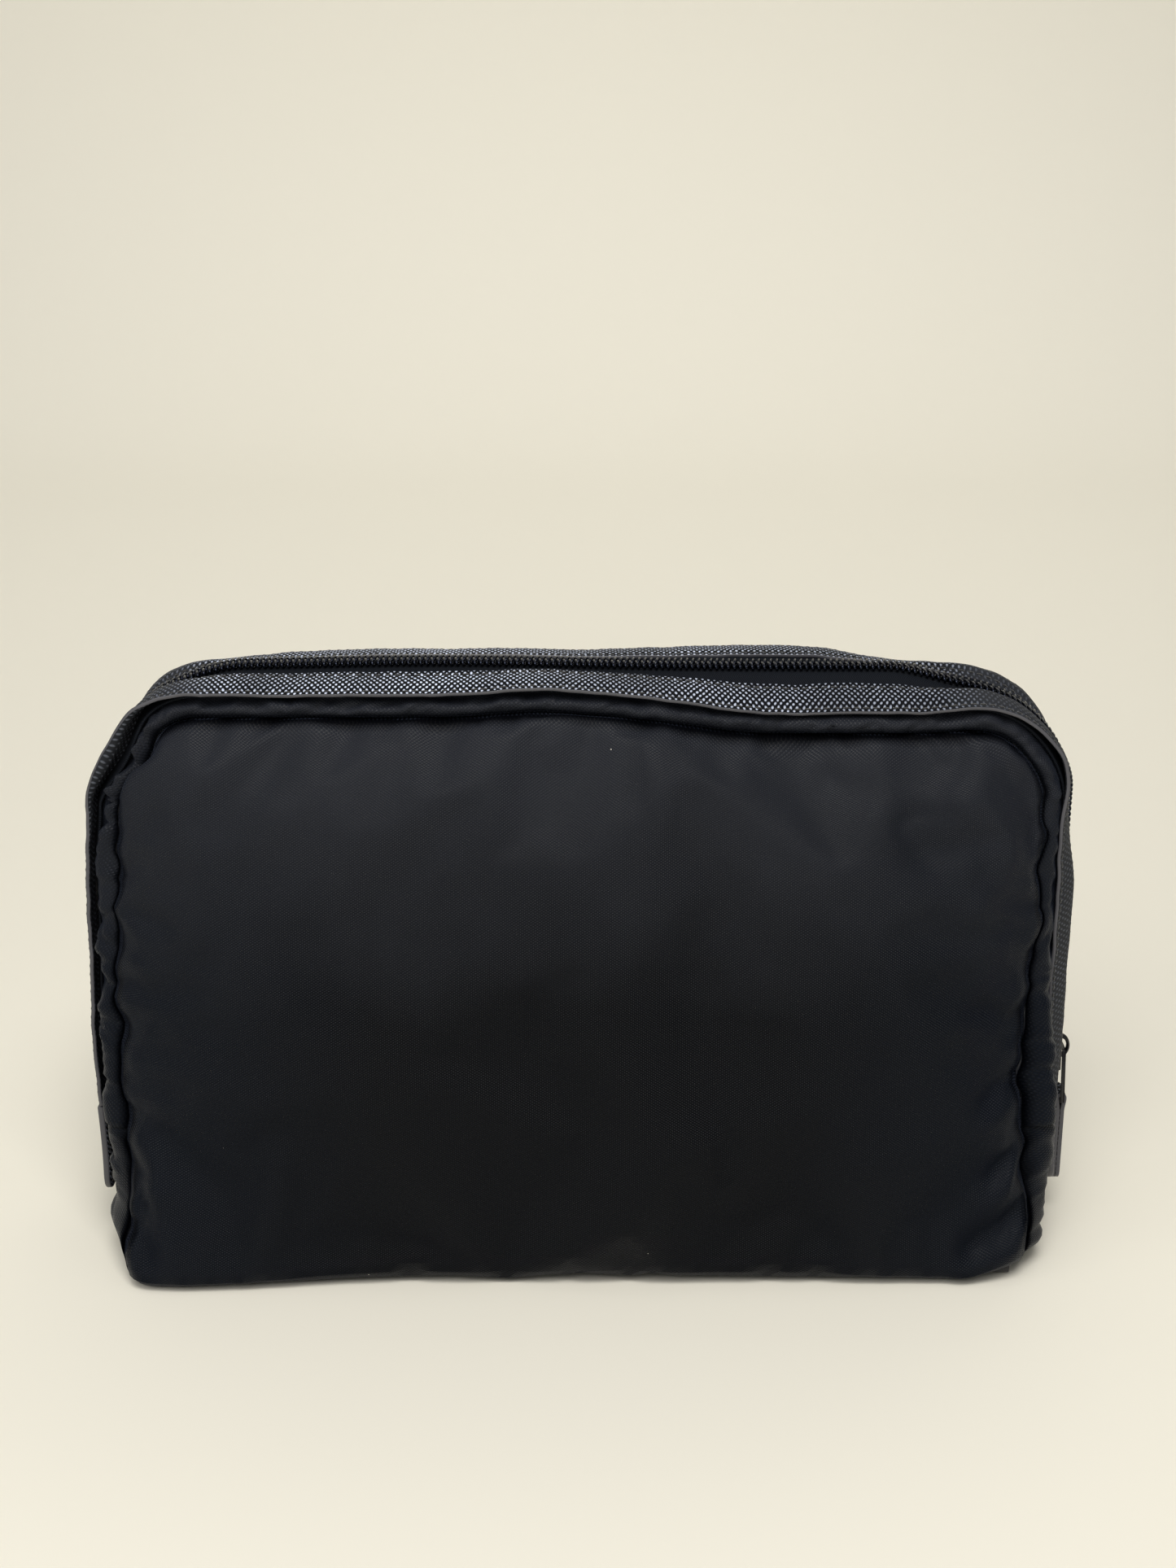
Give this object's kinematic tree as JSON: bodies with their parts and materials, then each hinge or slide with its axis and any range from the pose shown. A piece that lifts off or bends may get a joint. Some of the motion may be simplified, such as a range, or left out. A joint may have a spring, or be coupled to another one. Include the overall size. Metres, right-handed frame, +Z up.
{
  "type": "makeup bag",
  "caption": "Padded nylon pouch that stands on a flat base, with a coil zip edged in leather over its top and ends, a leather tab at each end of the zip, and a slider with a hung leather pull.",
  "frame": {"origin": "middle of the bag's flat underside, on the surface that it stands on", "axes": "+Z up, -Y towards the front, which is the face seen in the picture, +X towards the end where the zip closes"},
  "size_m": [0.255, 0.0774, 0.1565],
  "materials": {
    "nylon": "black nylon satin twill with a soft sheen",
    "lining": "plain black woven polyester, soft sheen",
    "foam": "matt grey closed-cell foam sheet",
    "board": "matt grey fibre board",
    "trim": "charcoal leather with a fine embossed cross-hatch and a silvery sheen, painted edges",
    "pull_leather": "charcoal embossed leather, painted edges",
    "tape": "black herringbone-woven zip tape, matt",
    "coil": "glossy black nylon coil",
    "metal": "black-painted zinc casting, satin"
  },
  "bodies": {
    "base": {"base_panel": "nylon", "base_board": "board", "base_lining": "lining", "left_gusset": "nylon", "right_gusset": "nylon", "left_gusset_lining": "lining", "right_gusset_lining": "lining", "left_zip_end": "tape", "right_zip_end": "tape", "right_end_tab": "trim", "front_top_stop": "metal", "back_top_stop": "metal", "bottom_stop": "metal"},
    "front_half": {"front_panel": "nylon", "front_foam": "foam", "front_lining": "lining", "front_gusset": "nylon", "front_gusset_lining": "lining", "front_tape": "tape", "front_trim": "trim", "front_coil": "coil"},
    "back_half": {"back_panel": "nylon", "back_foam": "foam", "back_lining": "lining", "back_gusset": "nylon", "back_gusset_lining": "lining", "back_tape": "tape", "back_trim": "trim", "back_coil": "coil"},
    "slider": {"slider_body": "metal", "slider_crown": "metal"},
    "pull_link": {"pull_link": "metal"},
    "pull_tag": {"pull_tag": "pull_leather"},
    "left_tab": {"left_end_tab": "trim"}
  },
  "joints": [
    {"name": "front_opens", "type": "hinge", "parent": "base", "child": "front_half", "pos_m": [0, -0.037, 0.003], "axis": [1, 0, 0], "range_deg": [0, 10]},
    {"name": "back_opens", "type": "hinge", "parent": "base", "child": "back_half", "pos_m": [0, 0.037, 0.003], "axis": [-1, 0, 0], "range_deg": [0, 10]},
    {"name": "slider_travel", "type": "slide", "parent": "base", "child": "slider", "axis": [0, 0, -1], "range_m": [-0.055, 0]},
    {"name": "pull_swing", "type": "hinge", "parent": "slider", "child": "pull_link", "pos_m": [0.1278, 0, 0.0492], "axis": [0, -1, 0], "range_deg": [0, 120]},
    {"name": "tag_swing", "type": "hinge", "parent": "pull_link", "child": "pull_tag", "pos_m": [0.1278, 0, 0.03595], "axis": [0, -1, 0], "range_deg": [0, 45]},
    {"name": "left_tab_lift", "type": "hinge", "parent": "base", "child": "left_tab", "pos_m": [-0.12315, 0, 0.0397], "axis": [0, 1, 0], "range_deg": [0, 70]}
  ]
}
